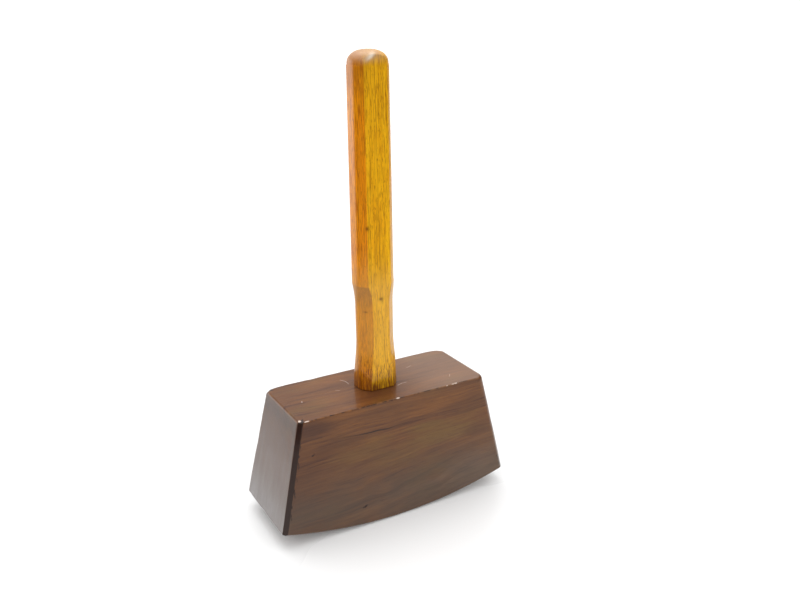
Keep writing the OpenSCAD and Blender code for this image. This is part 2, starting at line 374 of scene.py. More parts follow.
class HeadShape:
    """The head as a field: below nothing inside, above nothing outside, in metres."""

    def __init__(self, settings):
        self.s = settings
        half_face = HEAD_HIGH.x
        bulge = settings.face_bulge
        self.radius = (half_face ** 2 + bulge ** 2) / (2 * bulge)
        self.side_slope = (settings.face_thickness - settings.throat_thickness) / 2 / THROAT
        self.noise = SoftNoise(settings.seed)
        self.pale = self.placed(PALE_CHIPS)
        self.dark = self.placed(DARK_CHIPS) + self.small_chips()

    @staticmethod
    def placed(chips):
        return [(np.array(place) * MM, np.array(size) * MM) for place, size in chips]

    def end_line(self, right):
        """Half length at the throat, and slope of the end; right is true for points right of the middle."""
        half_throat = self.s.throat_length / 2 + np.where(right, self.s.right_growth, 0.0)
        return half_throat, (HEAD_HIGH.x - half_throat) / (THROAT - self.s.face_bulge)

    def outline(self, u, v, w):
        """Point of the unworn block for u and v from -1 to 1 and w from 0, face, to 1, throat."""
        low_x = u * HEAD_HIGH.x
        low_z = self.radius - np.sqrt(self.radius ** 2 - low_x ** 2)
        x = low_x + (u * self.end_line(u > 0)[0] - low_x) * w
        z = low_z + (THROAT - low_z) * w
        return np.stack([x, v * self.half_thickness(z), z], axis=1)

    def half_thickness(self, z):
        return self.s.throat_thickness / 2 + self.side_slope * (THROAT - z)

    def small_chips(self):
        """Small dark chips scattered along the long arrises and up the corners."""
        chips = []
        rng = np.random.default_rng(self.s.seed)
        for _ in range(LONG_CHIPS):
            along, side, end = rng.uniform(-0.98, 0.98), rng.choice([-1, 1]), rng.choice([0.0, 1.0])
            place = self.outline(*np.array([[along], [side], [end]]))[0]
            chips.append((place, rng.uniform(0.25, 0.65, 3) * MM * [1.8, 1, 1]))
        for _ in range(CORNER_CHIPS):
            up, side, end = rng.uniform(0.02, 0.98), rng.choice([-1, 1]), rng.choice([-1, 1])
            place = self.outline(*np.array([[end], [side], [up]]))[0]
            axis = rng.choice([0, 1])
            place[axis] *= 1 - self.s.corner_chamfer / abs(place[axis])
            chips.append((place, rng.uniform(0.3, 0.8, 3) * MM * [1, 1, 1.7]))
        return chips

    def planes(self, points):
        """Fields of the throat, the nearer end, the nearer side and the curved face."""
        x, y, z = np.abs(points[:, 0]), np.abs(points[:, 1]), points[:, 2]
        half_throat, slope = self.end_line(points[:, 0] > 0)
        end = x - half_throat - slope * (THROAT - z)
        side = y - self.half_thickness(z)
        return (z - THROAT,
                end / np.hypot(1, slope),
                side / math.hypot(1, self.side_slope),
                np.hypot(x, z - self.radius) - self.radius)

    def bites(self, points, chips):
        """Field of what the chips take out: above nothing inside them."""
        taken = np.full(len(points), -1.0)
        for place, size in chips:
            near = np.where(np.abs(points - place).max(axis=1) < size.max() * 2)[0]
            reach = np.linalg.norm((points[near] - place) / size, axis=1)
            taken[near] = np.maximum(taken[near], (1 - reach) * size.min())
        return taken

    def dents(self, points):
        """Depth that the dents take off the front side."""
        fall, deepest = 1.5, 0.9
        depth = np.zeros(len(points))
        front = points[:, 1] < 0
        for (x, z), (wide, high) in DENTS:
            reach = np.hypot((points[:, 0] - x * MM) / (wide * MM), (points[:, 2] - z * MM) / (high * MM))
            depth += np.where(front, np.exp(-reach ** 2 * fall), 0) * min(wide, high) * deepest * MM
        return depth

    def field(self, points):
        """The worn head, chips and dents included."""
        s = self.s
        throat, end, side, face = self.planes(points)
        wear = np.clip(self.noise(points, WEAR_PATCH) + 0.6 * self.noise(points, WEAR_FLECK), 0, 1)
        arris = s.arris_radius + s.arris_wear * wear
        tip = np.exp(-(np.ptp([throat, end, side], axis=0) / TIP_REACH) ** 2)
        rightward = np.clip(points[:, 0] / RIGHT_EASE, 0, 1)
        backward = np.clip(points[:, 1] / BACK_EASE, 0, 1)
        height = np.clip(points[:, 2] / THROAT, 0, 1)
        bend = s.right_round * (0.45 + 0.55 * height) * rightward
        corner = chamfer(end, side, s.corner_chamfer)
        walls = round_join(round_join(end, side, np.maximum(bend, arris)), corner, arris)
        top_round = arris + tip * (0.2 + 2.4 * np.clip(rightward + backward, 0, 1)) * MM
        over_end = np.clip((end - side) / END_EASE + 0.5, 0, 1)
        block = round_join(throat, walls, top_round + (s.throat_round - top_round).clip(0) * over_end)
        rim = chamfer(side, face, s.face_chamfer)
        block = round_join(round_join(block, face, arris), rim, arris * 0.6)
        uneven = WAVE * self.noise(points, WAVE_CELL) + RIPPLE * self.noise(points, RIPPLE_CELL)
        block = block + uneven + INSET
        return np.maximum(block + self.dents(points), self.bites(points, self.pale + self.dark))

    def settle(self, points):
        """Moves points along the field's slope until they lie on the worn surface."""
        step, rounds, least_slope = 0.02 * MM, 5, 0.25
        for _ in range(rounds):
            here = self.field(points)
            slope = np.stack([(self.field(points + step * axis) - here) / step for axis in np.eye(3)], axis=1)
            steep = np.maximum((slope ** 2).sum(axis=1), least_slope)
            points = points - slope * (here / steep)[:, None]
        return points

    def off_corner(self, points):
        """How far the left corners' flats lie ahead of the end and the side: below nothing off them."""
        _, end, side, _ = self.planes(points)
        ahead = chamfer(end, side, self.s.corner_chamfer) - np.maximum(end, side)
        return np.where(points[:, 0] < 0, ahead, -1.0)

    def distance_to_arris(self, points):
        """How far each surface point lies from the nearest arris."""
        fields = np.sort(np.stack(self.planes(points), axis=1), axis=1)
        return np.maximum(-fields[:, 2], 0)


def box_skin(us, vs, ws):
    """Lattice points and faces of a closed box; us, vs and ws are its grid lines."""
    counts = (len(us), len(vs), len(ws))
    index = {}
    cells = []

    def corner(i, j, k):
        return index.setdefault((i, j, k), len(index))

    for axis in range(3):
        a, b = [n for n in range(3) if n != axis]
        for end in (0, counts[axis] - 1):
            for i in range(counts[a] - 1):
                for j in range(counts[b] - 1):
                    cell = []
                    for di, dj in ((0, 0), (1, 0), (1, 1), (0, 1)):
                        key = [0, 0, 0]
                        key[axis], key[a], key[b] = end, i + di, j + dj
                        cell.append(corner(*key))
                    cells.append(cell)
    keys = np.array(list(index))
    return us[keys[:, 0]], vs[keys[:, 1]], ws[keys[:, 2]], cells


def mortise_tool(settings):
    """The tapering hole through the head, a little longer than the head is high."""
    overrun = 5 * MM
    slope = settings.mortise_flare / THROAT
    points = []
    for z in (-overrun, THROAT + overrun):
        half = settings.mortise_length / 2 + slope * max(THROAT - z, 0)
        for x, y in ((-1, -1), (1, -1), (1, 1), (-1, 1)):
            points.append((x * half, y * settings.mortise_width / 2, z))
    faces = [(3, 2, 1, 0), (4, 5, 6, 7), (0, 1, 5, 4), (1, 2, 6, 5), (2, 3, 7, 6), (3, 0, 4, 7)]
    return mesh_object("mortise_tool", points, faces)


class HandleShape:
    """The handle's eight-sided section at any height h above the throat."""

    steps_round, steps_crown = 240, 40
    soft_foot = 0.5 * MM  # radius of the foot's lowest edge
    stray, stray_length, stray_seed = 0.07 * MM, 34 * MM, 31  # how far the hand-planed faces stray
    full_from, full_rise = 6 * MM, 18 * MM  # where the neck starts to be fuller on its right
    full_to, full_fall = 80 * MM, 10 * MM  # where that has ended
    softest, sharper = 16, 76  # sharpness of the arrises in front and behind, and how much more at the sides
    side_from, side_over = 0.55, 0.30  # where an arris counts as at the side, as a sine
    crown_sharpness, crown_fullness = 40.0, 2 / 2.35
    flank_fade = 0.9 * MM

    def __init__(self, settings):
        s = self.s = settings
        self.reach = HANDLE_HIGH.z - THROAT
        self.crown_start = self.reach - s.crown_height
        self.grip_start = s.scoop_start + s.scoop_length
        self.crown_radius = math.hypot(s.grip_width_top / 2, s.grip_thickness / 2 - s.grip_chamfer_top)
        self.noise = SoftNoise(self.stray_seed)
        self.sections = ((s.foot_width / 2, s.foot_thickness / 2, s.foot_chamfer),
                         (s.neck_width / 2, s.neck_thickness / 2, s.neck_chamfer),
                         (s.grip_width_base / 2, s.grip_thickness / 2, s.grip_chamfer_base),
                         (s.grip_width_top / 2, s.grip_thickness / 2, s.grip_chamfer_top))

    def measured(self, h, part):
        """Half the width (part 0), half the thickness (1) or the chamfer (2) at height h."""
        s = self.s
        foot, neck, base, top = [section[part] for section in self.sections]
        flare = foot + (neck - foot) * (1 - np.cos(np.pi * np.clip(h / s.neck_start, 0, 1))) / 2
        scoop = neck + (base - neck) * np.clip((h - s.scoop_start) / s.scoop_length, 0, 1) ** 2
        grip = base + (top - base) * (h - self.grip_start) / (self.crown_start - self.grip_start)
        return np.where(h < s.scoop_start, flare, np.where(h < self.grip_start, scoop, grip))

    def ring(self, h, angles, crown_limit):
        """Radius at each angle: eight faces whose arrises are softened, more so at the sides."""
        s = self.s
        at = min(h, self.crown_start)
        half = self.measured(at, 0)
        thin = self.measured(at, 1)
        flat = (half + thin - self.measured(at, 2)) / math.sqrt(2) + s.corner_swell
        wide = half + s.narrow_swell
        distances = [float(d) for d in (wide, flat, thin, flat)] * 2
        on_neck = eased((h - self.full_from) / self.full_rise) * eased((self.full_to - h) / self.full_fall)
        for right_side in (0, 1, 7):
            distances[right_side] += s.neck_fill * on_neck
        at_side = eased((np.abs(np.sin(angles)) - self.side_from) / self.side_over)
        sharpness = self.softest + self.sharper * at_side
        total = np.zeros(len(angles))
        for n, distance in enumerate(distances):
            place = np.array([[n * 0.05, 0.013, h]])
            uneven = self.stray * float(self.noise(place, self.stray_length)[0])
            lean = np.maximum(np.cos(angles - n * math.pi / 4), 0)
            total += (lean / (distance + uneven)) ** sharpness
        radius = total ** (-1 / sharpness)
        if crown_limit is not None:
            power = -self.crown_sharpness
            radius = (radius ** power + crown_limit ** power) ** (1 / power)
        return radius

    def on_flank(self, points):
        """One on the corner flats and narrow faces, nothing on the wide faces."""
        h = np.clip(points[:, 2] - THROAT, 0, self.crown_start)
        wide = self.measured(h, 0) - self.measured(h, 2) + self.s.corner_swell * math.sqrt(2)
        return np.clip((np.abs(points[:, 0]) - wide) / self.flank_fade + 0.5, 0, 1)

    def levels(self):
        """Heights above the throat, each with the crown's limit on the radius or nothing."""
        heights = [self.soft_foot * t for t in (0, 0.15, 0.4, 0.7, 1)]
        heights += list(np.arange(1.5, 60, 1.4) * MM)
        heights += list(np.arange(60.5, self.grip_start / MM + 3, 0.5) * MM)
        heights += list(np.arange(self.grip_start / MM + 4, self.crown_start / MM - 3, 1.6) * MM)
        heights += list(np.linspace(self.crown_start - 3 * MM, self.crown_start, 6))
        levels = [(h, None) for h in heights]
        for step in range(1, self.steps_crown):
            turn = math.radians(90 * step / self.steps_crown)
            levels.append((self.crown_start + self.s.crown_height * math.sin(turn) ** self.crown_fullness,
                           self.crown_radius * math.cos(turn) ** self.crown_fullness))
        return levels

    def skin(self):
        """Points and faces of the handle above the throat."""
        points, count, soft = [], self.steps_round, self.soft_foot
        angles = np.arange(count) * 2 * math.pi / count
        for h, limit in self.levels():
            radius = self.ring(h, angles, limit)
            if h < soft:
                radius = radius - soft * (1 - math.sqrt(1 - (1 - h / soft) ** 2))
            points += zip(radius * np.cos(angles), radius * np.sin(angles), [THROAT + h] * count)
        rings = len(points) // count
        points.append((0, 0, THROAT + self.reach))
        faces = [tuple(range(count))[::-1]]
        for r in range(rings - 1):
            for n in range(count):
                m = (n + 1) % count
                faces.append((r * count + n, r * count + m, (r + 1) * count + m, (r + 1) * count + n))
        last = (rings - 1) * count
        faces += [(last + n, last + (n + 1) % count, len(points) - 1) for n in range(count)]
        return points, faces


def tenon_copy():
    """The tenon with its saw slots, cut from the fixed handle and run up a little into the foot."""
    cut_below, run_up = 0.5 * MM, 2.5 * MM
    work = bmesh.new()
    work.from_mesh(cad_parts["handle"].data)
    bmesh.ops.remove_doubles(work, verts=work.verts, dist=JOINING_DISTANCE)
    cut = bmesh.ops.bisect_plane(work, geom=work.verts[:] + work.edges[:] + work.faces[:],
                                 plane_co=(0, 0, THROAT - cut_below), plane_no=(0, 0, 1), clear_outer=True)
    rim = [e for e in cut["geom_cut"] if isinstance(e, bmesh.types.BMEdge)]
    raised = bmesh.ops.extrude_edge_only(work, edges=rim)["geom"]
    for vertex in (g for g in raised if isinstance(g, bmesh.types.BMVert)):
        vertex.co.z += run_up
    bmesh.ops.edgenet_fill(work, edges=[g for g in raised if isinstance(g, bmesh.types.BMEdge)])
    bmesh.ops.recalc_face_normals(work, faces=work.faces)
    mesh = bpy.data.meshes.new("tenon")
    work.to_mesh(mesh)
    work.free()
    return linked("tenon", mesh)


# ---------------- materials

class Nodes:
    """A short way to write a material's node tree."""

    def __init__(self, tree):
        self.tree = tree

    def add(self, kind, inputs=(), **settings):
        """A node of that kind; inputs maps socket names or numbers to values or sockets."""
        node = self.tree.nodes.new(kind)
        for name, value in settings.items():
            setattr(node, name, value)
        for name, value in dict(inputs).items():
            if isinstance(value, bpy.types.NodeSocket):
                self.tree.links.new(value, node.inputs[name])
            elif value is not None:
                node.inputs[name].default_value = value
        return node

    def math(self, operation, a, b=None, c=None, clamp=False):
        return self.add("ShaderNodeMath", {0: a, 1: b, 2: c}, operation=operation, use_clamp=clamp).outputs[0]

    def times(self, product, *factors):
        for factor in factors:
            product = self.math("MULTIPLY", product, factor)
        return product

    def plus(self, a, b):
        return self.math("ADD", a, b)

    def fused(self, a, b, c):
        """a times b, plus c."""
        return self.math("MULTIPLY_ADD", a, b, c)

    def vector(self, x, y, z=0.0):
        return self.add("ShaderNodeCombineXYZ", {0: x, 1: y, 2: z}).outputs[0]

    def parts(self, vector):
        return self.add("ShaderNodeSeparateXYZ", {0: vector}).outputs

    def coordinate(self, kind="Object"):
        return self.add("ShaderNodeTexCoord").outputs[kind]

    def noise(self, place, per_metre=None, detail=2.0, roughness=0.5):
        """Noise from 0 to 1; per_metre is how many features a metre holds along x, y and z."""
        if per_metre is not None:
            stretched = self.add("ShaderNodeVectorMath", {0: place, 1: per_metre}, operation="MULTIPLY")
            place = stretched.outputs[0]
        return self.add("ShaderNodeTexNoise", {"Vector": place, "Scale": 1.0, "Detail": detail,
                                               "Roughness": roughness}).outputs[0]

    def ranged(self, value, low, high, to_low=0.0, to_high=1.0):
        """value moved smoothly from low..high to to_low..to_high, and held there outside."""
        return self.add("ShaderNodeMapRange", {"Value": value, "From Min": low, "From Max": high,
                                               "To Min": to_low, "To Max": to_high},
                        interpolation_type="SMOOTHSTEP").outputs[0]

    def blob(self, across, up, centre, size):
        """One at the centre of a soft oval, fading out with size; both are in millimetres."""
        far = []
        for socket, middle, half in zip((across, up), centre, size):
            offset = self.fused(socket, 1 / (half * MM), -middle / half)
            far.append(self.times(offset, offset))
        return self.math("EXPONENT", self.times(self.plus(*far), -1))

    def distance_to_line(self, x, y, start, end):
        """Distance in the x-y plane to the line from start to end, which are in millimetres."""
        (x0, y0), (x1, y1) = start, end
        run, rise = (x1 - x0) * MM, (y1 - y0) * MM
        span = run ** 2 + rise ** 2
        dx = self.plus(x, -x0 * MM)
        dy = self.plus(y, -y0 * MM)
        along = self.fused(dy, rise / span, self.times(dx, run / span))
        along = self.math("ADD", along, 0.0, clamp=True)
        off_x = self.fused(along, -run, dx)
        off_y = self.fused(along, -rise, dy)
        return self.math("SQRT", self.plus(self.times(off_x, off_x), self.times(off_y, off_y)))

    def mix(self, factor, a, b, blend="MIX"):
        """a, or b where factor is one; a and b are colours or colour sockets."""
        node = self.add("ShaderNodeMix", {0: factor}, data_type="RGBA", blend_type=blend)
        for socket, value in ((6, a), (7, b)):
            if isinstance(value, bpy.types.NodeSocket):
                self.tree.links.new(value, node.inputs[socket])
            else:
                node.inputs[socket].default_value = (*value, 1.0)
        return node.outputs[2]

    def ramp(self, value, stops):
        """Colour of value along stops, pairs of a place and a colour."""
        node = self.add("ShaderNodeValToRGB", {0: value})
        band = node.color_ramp
        band.interpolation = "EASE"
        while len(band.elements) < len(stops):
            band.elements.new(0.5)
        for element, (place, color) in zip(band.elements, stops):
            element.position = place
            element.color = (*color, 1.0)
        return node.outputs[0]

    def attribute(self, name):
        return self.add("ShaderNodeAttribute", attribute_name=name).outputs["Fac"]

    def bump(self, height, distance, strength):
        return self.add("ShaderNodeBump", {"Height": height, "Distance": distance,
                                           "Strength": strength}).outputs[0]


class Finish(Nodes):
    """A new material: its nodes, its Principled shader and a colour that is built up in layers."""

    def __init__(self, name, tones):
        self.material = bpy.data.materials.new(name)
        self.material.use_nodes = True
        super().__init__(self.material.node_tree)
        self.shader = self.tree.nodes["Principled BSDF"]
        self.tones = tones
        self.color = None

    def lay(self, color, *amounts, blend="MIX"):
        """Lays a colour, or a tone by its name, over what is there; amounts are multiplied."""
        if isinstance(color, str):
            color = getattr(self.tones, color)
        self.color = self.mix(self.times(*amounts), self.color, color, blend)

    def done(self, roughness, normal, coat_normal=None, **constants):
        """Wires the shader's main inputs, sets the rest on its own sockets and returns the material."""
        for name, socket in (("Base Color", self.color), ("Roughness", roughness),
                             ("Normal", normal), ("Coat Normal", coat_normal)):
            if socket is not None:
                self.tree.links.new(socket, self.shader.inputs[name])
        for name, value in constants.items():
            self.shader.inputs[name.replace("_", " ")].default_value = value
        return self.material


# Small eyes in the grain: place along x and z, half size, and how far they push the growth, in millimetres
SWIRLS = (
    ((-11.0, 25.0), (8.0, 5.5), 3.2),
    ((-34.0, 32.0), (8.0, 5.0), 1.5),
    ((33.0, 20.0), (11.0, 7.0), 2.4),
)

# Broad tones of the board, and a painted sheen low on the front: colour, place along x and z, half size in
# millimetres, and amount
FIGURE = (
    ("warm", (30.0, 77.0), (30.0, 5.5), 0.85),
    ("warm", (-40.0, 87.0), (30.0, 3.0), 0.60),
    ("warm", (-12.0, 26.0), (6.0, 4.0), 0.35),
    ("olive", (24.0, 63.0), (18.0, 4.0), 0.70),
    ("olive", (38.0, 54.0), (34.0, 7.0), 0.80),
    ("olive", (-2.0, 46.0), (26.0, 10.0), 0.35),
    ("dark", (-64.0, 83.0), (18.0, 7.0), 0.90),
    ("dark", (-86.0, 44.0), (34.0, 40.0), 0.55),
    ("dark", (-48.0, 66.0), (22.0, 7.0), 0.45),
    ("dark", (66.0, 50.0), (12.0, 5.0), 0.40),
    ("dark", (-60.0, 52.0), (24.0, 4.0), 0.35),
    # Painted sheen low on the front, most of all on the right
    ("painted_sheen", (64.0, 12.0), (34.0, 20.0), 0.30),
    ("painted_sheen", (5.0, 10.0), (50.0, 14.0), 0.12),
)


# The pith that the growth rings run round: behind and below the block, in metres
PITH_BEHIND, PITH_BELOW = 0.11, 0.15
VEIN_HEIGHT, VEIN_DIP = 0.0730, -0.0035


def rosewood(settings):
    """Dark red-brown hardwood with streaks along the head, under an old satin lacquer."""
    n = Finish("rosewood_lacquered", settings)
    place = n.coordinate()
    x, y, z = n.parts(place)

    # Growth round the pith: long streaks on the sides, arcs on the ends
    swell = n.noise(place, (9, 18, 18))
    swell_fine = n.noise(place, (26, 60, 60), detail=3)
    depth = n.math("SQRT", n.plus(n.math("POWER", n.plus(y, -PITH_BEHIND), 2),
                                  n.math("POWER", n.plus(z, PITH_BELOW), 2)))
    sag = n.times(n.ranged(x, -0.045, 0.085), n.ranged(z, 0.080, 0.030))
    depth = n.fused(sag, -0.013, depth)
    depth = n.fused(swell, 0.009, depth)
    depth = n.fused(swell_fine, 0.0030, depth)
    for centre, size, lift in SWIRLS:
        depth = n.fused(n.blob(x, z, centre, size), lift * MM, depth)

    bands = n.noise(n.vector(n.times(x, 8), n.times(depth, 190)), detail=4, roughness=0.65)
    lines = n.noise(n.vector(n.times(x, 22), n.times(depth, 800), 3.0), detail=4, roughness=0.6)
    patches = n.noise(place, (16, 34, 34), detail=3)
    fibres = n.noise(place, (60, 900, 900), detail=3, roughness=0.7)

    n.color = n.ramp(n.fused(n.plus(lines, -0.5), 0.72, bands),
                     ((0.26, settings.dark), (0.50, settings.middle), (0.76, settings.warm)))
    n.lay("olive", n.ranged(patches, 0.52, 0.68, 0, 0.45))
    for tone, centre, size, amount in FIGURE:
        spread = n.fused(n.plus(bands, -0.5), 1.3, n.blob(x, z, centre, size))
        n.lay(tone, n.ranged(spread, 0.15, 0.95, 0, amount))
    n.lay("fibre", n.ranged(fibres, 0.30, 0.70), blend="MULTIPLY")

    # Open pores: short dark dashes along the grain, dots on the ends
    pore = n.ranged(n.noise(place, (110, 1500, 1500), detail=1), 0.66, 0.74)
    n.lay("dark", pore, 0.55)

    # A thin dark vein under the throat, dipping left of the handle
    waver = n.fused(n.noise(place, (50, 50, 50)), 0.0020, -0.0010)
    dip = n.fused(n.blob(x, z, (-10.0, 70.0), (30.0, 30.0)), VEIN_DIP, VEIN_HEIGHT)
    off_vein = n.math("ABSOLUTE", n.plus(n.math("SUBTRACT", z, dip), waver))
    strong = n.fused(n.blob(x, z, (-17.0, 70.0), (16.0, 30.0)), 0.75, 0.18)
    n.lay("corner", n.ranged(off_vein, 0.00075, 0.00015), strong, n.ranged(x, -0.070, -0.045))

    # Painted sheen in patches low down, near the curved face
    sheen_noise = n.noise(place, (30, 60, 60), detail=3)
    n.lay("painted_low_sheen", n.ranged(z, 0.062, 0.018, 0.0, 0.68), n.ranged(sheen_noise, 0.25, 0.60, 0.6, 1.0))

    # A painted sheen on the throat, growing to the right, and a painted shade and reflection of the handle
    # round its foot
    on_throat = n.ranged(z, THROAT - 0.8 * MM, THROAT - 0.4 * MM)
    n.lay("painted_sheen", n.ranged(x, -0.004, 0.050, 0.0, 0.30), on_throat)
    # Painted shade and reflection of the handle, in front of its foot
    n.lay("dark", n.blob(x, y, (-5.0, -17.0), (15.0, 12.0)), on_throat, 0.65)

    # Arrises warmer brown in places, partly rubbed wear and partly a painted highlight along the edge, and a
    # line of grime along the rest
    arris = n.attribute("arris")
    rub = n.noise(place, (160, 160, 160), detail=4, roughness=0.7)
    n.lay("warm", n.ranged(arris, 0.0014, 0.0002), n.ranged(rub, 0.45, 0.62), 0.6)
    n.lay("corner", n.ranged(arris, 0.0007, 0.0003), n.ranged(rub, 0.55, 0.44), 0.75)

    # Striking ends paler and greyer low down and darker near the throat: partly scuffed end grain, partly a
    # painted sheen
    facing = n.math("ABSOLUTE", n.parts(n.coordinate("Normal"))[0])
    streaky = n.noise(place, (60, 160, 30), detail=4, roughness=0.65)
    end_sheen_amount = n.fused(n.plus(streaky, -0.5), 0.7, n.ranged(z, 0.085, 0.010, 0.50, 0.75))
    end_sheen = n.ramp(n.times(z, 1 / THROAT),
                 ((0.10, settings.end_sheen_low), (0.50, settings.scuffed_sheen), (0.96, settings.end_sheen_high)))
    n.lay(end_sheen, end_sheen_amount, n.ranged(facing, 0.90, 0.96))

    # Dirt on the corner flats, and chips gone dark or down to bare wood with a painted glint
    n.lay("corner", n.attribute("corner_flat"), 0.93)
    n.lay("corner", n.attribute("dark_chip"), 0.85)
    n.lay("bare_wood_and_glint", n.attribute("bare_wood_and_glint"))

    # Pale scratches in the throat's lacquer, and dents in the side
    for start, end, half_width in SCRATCHES:
        reach = n.distance_to_line(x, y, start, end)
        line = n.ranged(reach, half_width * 1.6 * MM, half_width * 0.4 * MM)
        n.lay("bare_wood_and_glint", line, on_throat, 0.55)
    n.lay("corner", n.attribute("dent"))

    smudge = n.noise(place, (28, 40, 40), detail=4, roughness=0.6)
    relief = n.bump(n.plus(n.times(fibres, 0.25), n.times(pore, -1.0)), 0.06 * MM, 0.6)
    film = n.bump(n.noise(place, (90, 260, 260), detail=3), 0.10 * MM, 0.5)
    return n.done(n.ranged(smudge, 0.3, 0.7, 0.30, 0.42), relief, film,
                  Coat_Weight=0.55, Coat_Roughness=0.12, Specular_IOR_Level=0.08)


# Scratches in the lacquer of the throat: from, to, and half width, in millimetres
SCRATCHES = (
    ((-19.6, 17.6), (-17.2, 13.0), 0.22),
    ((-17.2, 13.0), (-17.3, 8.2), 0.20),
    ((12.0, -11.8), (16.0, -10.4), 0.26),
    ((16.0, -10.4), (19.9, -10.3), 0.20),
    ((-58.3, -2.3), (-57.8, -0.9), 0.30),
    ((-30.0, 3.5), (-27.5, 1.4), 0.14),
    ((33.0, 12.0), (37.5, 13.4), 0.15),
    ((52.0, -18.0), (54.2, -14.6), 0.15),
)


# Knots and dark marks on the front of the handle: across and up in millimetres, half size, strength
MARKS = (
    ((-8.6, 207.7), (1.0, 1.5), 0.9),
    ((0.6, 156.9), (1.5, 1.1), 0.8),
    ((-9.6, 148.0), (1.1, 0.7), 0.7),
    ((1.8, 155.4), (0.8, 2.4), 0.45),
)


def amber_wood(settings):
    """Straight-grained amber wood under clear varnish, stained where it meets the head, with painted shade on
    the flanks, foot and shoulder and painted sheen and a glint on the neck and crown.
    """
    n = Finish("amber_wood_varnished", settings)
    place = n.coordinate()
    x, y, z = n.parts(place)

    drift = n.noise(place, (14, 14, 6))
    wander = n.vector(n.times(drift, 0.004), n.times(drift, -0.003))
    bent = n.add("ShaderNodeVectorMath", {0: place, 1: wander}, operation="ADD").outputs[0]
    growth = n.noise(bent, (230, 150, 5), detail=3, roughness=0.55)
    fine = n.noise(bent, (1300, 1300, 30), detail=3, roughness=0.7)
    pores = n.noise(bent, (1500, 1500, 260), detail=1)
    dashes = n.noise(bent, (1700, 1700, 110), roughness=0.6)
    long_streaks = n.noise(bent, (620, 620, 12))
    mottle = n.noise(place, (55, 55, 24), detail=4, roughness=0.6)

    # Painted shade on the narrow faces and corner flats: full on the left, weaker on the right
    flank = n.times(n.attribute("flank"), n.ranged(x, 0.006, -0.002, 0.18, 1.0))
    redder = n.mix(n.ranged(growth, 0.30, 0.70), settings.flank, settings.body)
    redder = n.mix(n.ranged(mottle, 0.35, 0.65, 0.55, 0.95), redder, settings.flank)
    n.color = n.ramp(growth, ((0.30, settings.body), (0.62, settings.light)))
    n.lay(redder, flank)
    n.lay("flank", n.ranged(mottle, 0.50, 0.75, 0, 0.30))
    for grain, start, full, amount in ((fine, 0.44, 0.64, 0.46), (dashes, 0.49, 0.64, 0.55),
                                       (pores, 0.60, 0.70, 0.60), (long_streaks, 0.52, 0.70, 0.34)):
        n.lay("streak", n.ranged(grain, start, full, 0, amount))
    n.lay("flank_grain", n.ranged(dashes, 0.48, 0.64, 0, 0.55), flank)

    # A painted sheen that pales the neck, and darker streaks on its flanks, part of their painted shade
    foot = n.math("SUBTRACT", z, THROAT)
    thin = n.times(n.ranged(foot, 0.008, 0.030), n.ranged(foot, 0.100, 0.070))
    n.lay("pale", thin, 0.24)
    n.lay("streak", thin, flank, 0.22)

    # Stain that has crept up the grain from the throat, the foot darker towards the throat, and painted shade
    # on the flanks near the throat, along the join and on the scooped shoulder
    creep = n.ranged(foot, 0.034, 0.0, 0.0, 0.20)
    n.lay("stain_and_shade", n.ranged(n.plus(fine, creep), 0.62, 0.84, 0, 0.70))
    n.lay("stain_and_shade", n.ranged(n.plus(dashes, creep), 0.64, 0.84, 0, 0.75))
    n.lay("stain_and_shade", n.ranged(foot, 0.016, 0.0, 0, 0.30))
    # Painted shade: the flanks darker near the throat
    n.lay("stain_and_shade", n.ranged(foot, 0.030, 0.002, 0, 0.42), flank)
    # Painted shade: a dark line where the foot meets the throat
    n.lay("stain_and_shade", n.ranged(foot, 0.0012, 0.0002, 0, 0.7))
    # Painted shade under the grip, at the top of the scooped shoulder
    n.lay("shoulder", n.ranged(foot, 0.0772, 0.0760), n.ranged(foot, 0.052, 0.074), flank, 0.55)

    # The tenon's dark end grain, the grip darker brown high up on its left, and a painted sheen on top of the
    # crown, strongest on its left
    n.lay("streak", n.ranged(foot, -0.080, -0.084), 0.55)
    n.lay("streak", n.ranged(foot, 0.196, 0.218), n.ranged(x, 0.000, -0.012),
              n.ranged(mottle, 0.35, 0.60, 0.2, 0.55))
    n.lay("sheened", n.ranged(foot, 0.2215, 0.2300, 0, 0.72), n.ranged(x, 0.011, -0.002, 0.3, 1.0))

    # A painted glint on the crown's front edge, and knots and marks on the front
    front = n.ranged(y, -0.004, -0.007)
    n.lay("worn", n.blob(x, n.fused(x, -0.55, z), (-3.4, 319.6), (3.0, 1.6)), front, 0.9)
    for centre, size, strength in MARKS:
        n.lay("stain_and_shade", n.blob(x, z, centre, size), strength, front)

    handling = n.noise(place, (60, 60, 25), detail=4, roughness=0.6)
    relief = n.bump(n.plus(n.times(fine, 0.5), n.times(pores, -0.5)), 0.07 * MM, 0.6)
    film = n.bump(n.noise(place, (300, 300, 60), detail=3), 0.12 * MM, 0.5)
    return n.done(n.ranged(handling, 0.3, 0.7, 0.30, 0.44), relief, film,
                  Coat_Weight=0.50, Coat_Roughness=0.13, Specular_IOR_Level=0.05)


def wedge_wood(settings):
    """Dark end grain of the wedges, planed flush with the curved face."""
    n = Finish("wedge_end_grain", settings)
    place = n.coordinate()
    rings = n.noise(place, (900, 260, 30), detail=4, roughness=0.6)
    pores = n.noise(place, (2600, 2600, 60), detail=1)
    n.color = n.mix(n.ranged(rings, 0.35, 0.65), settings.pore, settings.body)
    n.lay("pore", n.ranged(pores, 0.60, 0.70))
    relief = n.bump(n.math("SUBTRACT", rings, pores), 0.06 * MM, 0.6)
    return n.done(n.ranged(rings, 0.3, 0.7, 0.42, 0.55), relief, Coat_Weight=0.3, Coat_Roughness=0.25)


